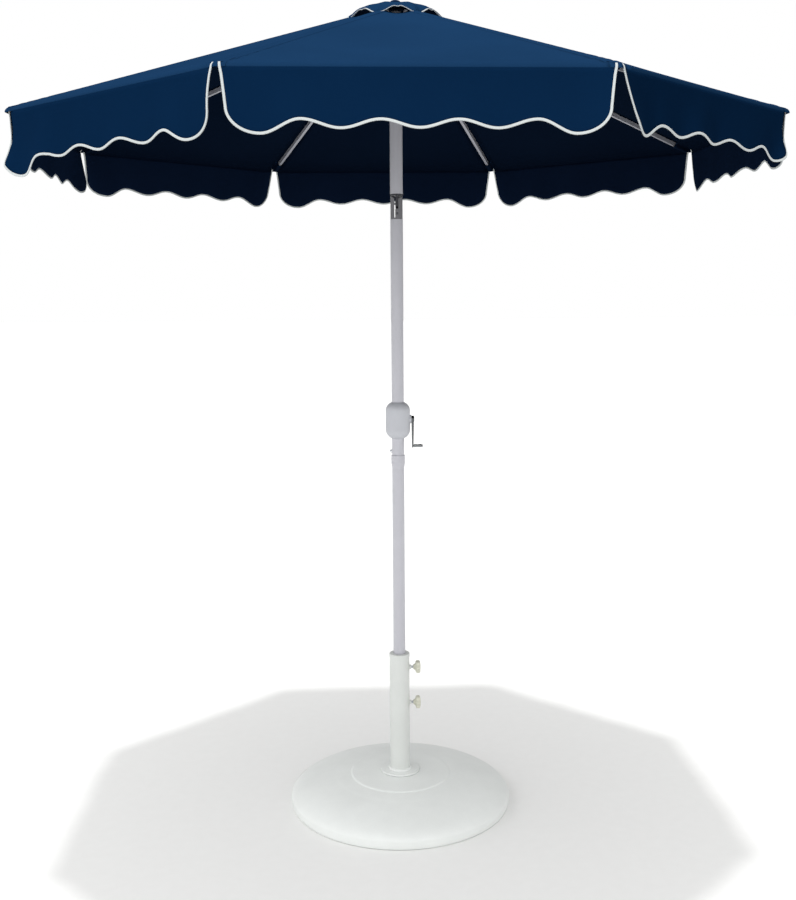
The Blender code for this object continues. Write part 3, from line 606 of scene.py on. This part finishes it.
def build_flap(i):
    mid = np.linspace(-FLAP_T, FLAP_T, 101)
    corner = FLAP_T + (FLAP_END - FLAP_T) * np.sin(np.linspace(0, math.pi / 2, 14))[1:]
    a = np.concatenate([-corner[::-1], mid, corner]) / FLAP_END
    b = np.linspace(0, 1, 15)
    B, A = np.meshgrid(b, a, indexing="ij")
    pts, t, d = flap_point(i, A, B)
    uv = np.stack([t, d], -1)
    flap = grid(f"valance_cloth_{i}", pts, uv, [shaded_flap_cloth, shaded_flap_inside], flip=True)
    cloth_layers(flap)
    # binding path: down the left side, along the wave, up the right side
    down = np.linspace(SIDE_DROP[0] / SIDE_DROP[-1], 1, 20)
    path = np.concatenate([
        flap_point(i, np.full(20, -1.0), down)[0],
        flap_point(i, a[1:-1], np.ones(len(a) - 2))[0],
        flap_point(i, np.full(20, 1.0), down[::-1])[0],
    ])
    return flap, binding(f"valance_binding_{i}", path, side_normal(i))


def side_normal(i):
    a = side_angle(i)
    return np.array([math.cos(a), math.sin(a), 0.0])


def binding(name, path, out, width=0.0048):
    """White tape folded over a cloth edge along a path; out is roughly the cloth's outward side."""
    keep = np.concatenate([[True], np.linalg.norm(np.diff(path, axis=0), axis=1) > 1e-5])
    path = path[keep]
    tangent = np.gradient(path, axis=0)
    tangent /= np.linalg.norm(tangent, axis=1)[:, None]
    inward = np.cross(tangent, np.broadcast_to(out, path.shape))
    inward /= np.linalg.norm(inward, axis=1)[:, None]
    outward = np.cross(inward, tangent)
    w, h = width, 0.0012
    upper = [(-0.0008, h * 0.75), (0.0002, h), (w * 0.55, h * 1.05), (w - 0.0009, h)]
    upper += [(w, h * 0.55), (w, 0.0006)]
    section = [(-0.0012, 0.0)] + upper + [(across, -up) for across, up in upper[::-1]]
    return sweep(name, path, inward, outward, section, [tape])


# ---------------------------------------------------------------- vent
# heights of the vent along its ridges and along the middle of its sides, by share of its radius
RIDGE = (
    [0, 0.08, 0.2, 0.45, 0.6, 0.8, 0.9, 1.0],
    [2.4672, 2.4650, 2.4600, 2.4555, 2.4520, 2.4400, 2.4280, 2.4110],
)
MIDDLE = ([0, 0.08, 0.2, 0.45, 0.8, 1.0], [2.4672, 2.4650, 2.4600, 2.4550, 2.4440, 2.4290])


def smooth_curve(value, knots):
    xs, ys = np.array(knots[0]), np.array(knots[1])
    fine = np.linspace(0, 1, 201)
    line = np.interp(fine, xs, ys)
    pad = np.concatenate([np.full(8, line[0]), line, line[-1] + (line[-1] - line[-2]) * np.arange(1, 9)])
    soft = np.convolve(pad, np.ones(17) / 17, mode="valid")
    return np.interp(value, fine, soft)


def vent_height(rho, x):
    """Height of the vent's cloth; rho is the share of its radius, x is -1 to 1 between ridges."""
    arch = (0.5 + 0.5 * np.cos(math.pi * np.clip(np.abs(x) / 0.82, 0, 1))) ** 0.7
    dip = 1 - 0.2 * np.exp(-((x / 0.13) ** 2)) * rho**6
    return smooth_curve(rho, RIDGE) + (smooth_curve(rho, MIDDLE) - smooth_curve(rho, RIDGE)) * arch * dip


def build_vent(i):
    rho = np.linspace(0.21, 1, 18)
    x = np.linspace(-1, 1, 33)
    R, X = np.meshgrid(rho, x, indexing="ij")
    U = R * VENT_U
    T = X * U * TAN
    Z = vent_height(R, X)
    uv = np.stack([T, U], -1)
    vent = grid(f"vent_gore_{i}", place(i, U, T, Z), uv, [top_cloth, shaded_inner_cloth], flip=True)
    cloth_layers(vent, VENT_CLOTH)
    edge = place(i, U[-1], T[-1], Z[-1])
    out = np.array([0, 0, 1.0]) + 0.2 * side_normal(i)
    trim = binding(f"vent_binding_{i}", edge, out, 0.0046)
    return vent, trim


def build_crown():
    rho = np.linspace(0.02, 0.235, 8)
    cols = []
    for i in range(1, SIDES + 1):
        x = np.linspace(-1, 1, 13)[:-1]
        R, X = np.meshgrid(rho, x, indexing="ij")
        U = R * VENT_U
        T = X * U * TAN
        cols.append((place(i, U, T, vent_height(R, X) + 0.0006), np.stack([T + i * 0.3, U], -1)))
    pts = np.concatenate([c[0] for c in cols], 1)
    uv = np.concatenate([c[1] for c in cols], 1)
    crown = grid("crown_cloth", pts, uv, [top_cloth, shaded_inner_cloth], flip=True, wrap=True)
    return cloth_layers(crown, VENT_CLOTH)


def soft_piece(obj, body):
    """Puts a piece on its body and gives it a mesh of its own."""
    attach(obj, body)
    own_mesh(obj)


for i in range(1, SIDES + 1):
    gore = build_gore(i)
    soft_piece(gore, f"panel_{i}")
    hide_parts(f"canopy_panel_{i}")
    flap, trim = build_flap(i)
    soft_piece(flap, f"valance_{i}")
    soft_piece(trim, f"valance_{i}")
    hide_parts(f"valance_flap_{i}")
    vent, vent_trim = build_vent(i)
    soft_piece(vent, f"panel_{i}")
    soft_piece(vent_trim, f"panel_{i}")
    if i == 1:
        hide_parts("vent_canopy")
    strip = build_strip(i)
    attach(strip, f"rib_{i}")
    pocket = build_pocket(i)
    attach(pocket, f"rib_{i}")

crown = build_crown()
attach(crown, "upper_mast")


# ---------------------------------------------------------------- base and knobs
BASE_R = 0.35
DOME_FOOT, DOME_RISE = 0.026, 0.070
STEP_R, RING_R = 0.157, 0.205


def base_height(r):
    """Height of the dome's surface at radius r, with its raised centre step and fine ring."""
    z = DOME_FOOT + DOME_RISE * (1 - (r / BASE_R) ** 2.6) ** 0.58
    step = 0.5 - 0.5 * math.tanh((r - STEP_R) / 0.0022)
    ring = 0.5 - 0.5 * math.tanh((r - RING_R) / 0.004)
    return z + 0.0027 * step + 0.0008 * ring - 0.0004


profile = [(0.0335, 0.0905), (0.0335, 0.0990)]
rim_radii = BASE_R * np.sin(np.linspace(math.asin(0.30 / BASE_R) + 0.02, math.pi / 2, 26))
inner_radii = [np.linspace(*span) for span in ((0.034, 0.147, 14), (0.149, 0.165, 17), (0.170, 0.300, 22))]
for radii in (*inner_radii, rim_radii):
    profile += [(r, base_height(r)) for r in radii]
profile += [(0.3506, 0.018), (0.3500, 0.010), (0.3488, 0.0045), (0.3468, 0.0012)]
profile += [(0.3440, 0.0), (0.3400, 0.0), (0.3400, 0.006)]
dome = lathe("base_dome", profile[::-1], segments=180, materials=[paint["base_paint"]])
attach(dome, "base")
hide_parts("base_shell")

bead = lathe(
    "sleeve_weld",
    [
        (0.0300, 0.1050), (0.0375, 0.1052), (0.0372, 0.1066), (0.0358, 0.1080),
        (0.0340, 0.1092), (0.0325, 0.1098), (0.0300, 0.1098),
    ],
    segments=120,
    materials=[paint["base_paint"]],
    radius=lambda a, r, h: r + (0.0005 * math.sin(38 * a) if r > 0.032 else 0.0),
)
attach(bead, "base")


KNOB_PROFILE = [
    (0.0042, 0.0436), (0.0062, 0.0436), (0.0070, 0.0450), (0.0100, 0.0500), (0.0150, 0.0515),
    (0.0178, 0.0530), (0.0188, 0.0560), (0.0190, 0.0595), (0.0186, 0.0630), (0.0170, 0.0652),
    (0.0140, 0.0662), (0.0100, 0.0668), (0.0050, 0.0672), (0.0004, 0.0674),
]
THREAD_PITCH = 0.00125


def build_knob(body, z):
    """A six-lobed head and its threaded screw, along X at height z."""
    lobes = lambda a, r, h: r * (1 + (0.10 * math.cos(6 * a) if r > 0.006 else 0.0))
    head = lathe(
        f"{body}_head",
        KNOB_PROFILE,
        centre=(0, 0, z),
        axis="X",
        segments=72,
        materials=[paint["ivory"]],
        radius=lobes,
    )
    thread = [(0.0002, 0.0196), (0.0030, 0.0196)]
    x = 0.0200
    while x < 0.0425:
        thread += [(0.0034, x), (0.0040, x + 0.0006)]
        x += THREAD_PITCH
    thread += [(0.0034, 0.0428), (0.0042, 0.0432), (0.0042, 0.0446), (0.0002, 0.0446)]
    screw = lathe(f"{body}_screw", thread, centre=(0, 0, z), axis="X", segments=28, materials=[metal["zinc"]])
    for piece, slot in ((head, "knob_plastic"), (screw, "zinc_steel")):
        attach(piece, body)
    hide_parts(body)


build_knob("upper_knob", 0.441)
build_knob("lower_knob", 0.324)

# ---------------------------------------------------------------- studio
FLOOR_HALF, FLOOR_Z = 60, -0.001
BRIGHTEST = (-0.40, -0.72, 0.56)
DIM, BRIGHT = 0.11, 1.50

floor_look = Graph("floor_look")
grain = floor_look.noise(floor_look.object_space(), 30.0, 4.0)
FLOOR_TONES = (0.90, 0.90, 0.89, 1), (0.915, 0.915, 0.905, 1)
floor_look.finish(
    Base_Color=floor_look.mix(floor_look.ramp(grain, 0.3, 0.7, 0.0, 1.0), *FLOOR_TONES),
    Roughness=0.9,
    Specular_IOR_Level=0.1,
)
floor = make_mesh(
    "studio_floor",
    [(x * FLOOR_HALF, y * FLOOR_HALF, FLOOR_Z) for x, y in ((-1, -1), (1, -1), (1, 1), (-1, 1))],
    [(0, 1, 2, 3)],
    materials=[floor_look.material],
)

world = bpy.data.worlds.new("studio")
world.use_nodes = True
sky = world.node_tree
background = next(n for n in sky.nodes if n.type == "BACKGROUND")
background.inputs[0].default_value = (1, 1, 1, 1)
where = sky.nodes.new("ShaderNodeTexCoord").outputs["Generated"]
toward = sky.nodes.new("ShaderNodeVectorMath")
toward.operation = "DOT_PRODUCT"
toward.inputs[1].default_value = BRIGHTEST
sky.links.new(where, toward.inputs[0])
soft = sky.nodes.new("ShaderNodeMapRange")
for socket, value in ((1, -1.0), (2, 1.0), (3, DIM), (4, BRIGHT)):
    soft.inputs[socket].default_value = value
sky.links.new(toward.outputs["Value"], soft.inputs[0])
seen = sky.nodes.new("ShaderNodeLightPath").outputs["Is Camera Ray"]
pick = sky.nodes.new("ShaderNodeMix")
pick.inputs[3].default_value = 1.0
sky.links.new(seen, pick.inputs[0])
sky.links.new(soft.outputs[0], pick.inputs[2])
sky.links.new(pick.outputs[0], background.inputs[1])
bpy.context.scene.world = world
bpy.context.scene.view_settings.view_transform = "Standard"

sun = bpy.data.lights.new("overhead", "SUN")
sun.energy = 1.15
sun.angle = math.radians(3)
sun_object = bpy.data.objects.new("overhead", sun)
bpy.context.scene.collection.objects.link(sun_object)

# ---------------------------------------------------------------- camera
azimuth, distance, height = math.radians(-2.80), 3.441, 1.628
turn, pitch, roll = azimuth + math.radians(0.005), math.radians(8.06), math.radians(-0.38)
ahead = Vector((-math.sin(turn) * math.cos(pitch), math.cos(turn) * math.cos(pitch), -math.sin(pitch)))
right = Vector((math.cos(turn), math.sin(turn), 0))
up = right.cross(ahead)
right, up = (
    math.cos(roll) * right + math.sin(roll) * up,
    -math.sin(roll) * right + math.cos(roll) * up,
)
lens = bpy.data.cameras.new("camera")
lens.lens = 44.77
lens.sensor_width = 36
lens.clip_end = 200
camera = bpy.data.objects.new("camera", lens)
spin = Matrix((right, up, -ahead)).transposed().to_4x4()
stand = Vector((math.sin(azimuth) * distance, -math.cos(azimuth) * distance, height))
camera.matrix_world = Matrix.Translation(stand) @ spin
bpy.context.scene.collection.objects.link(camera)
bpy.context.scene.camera = camera
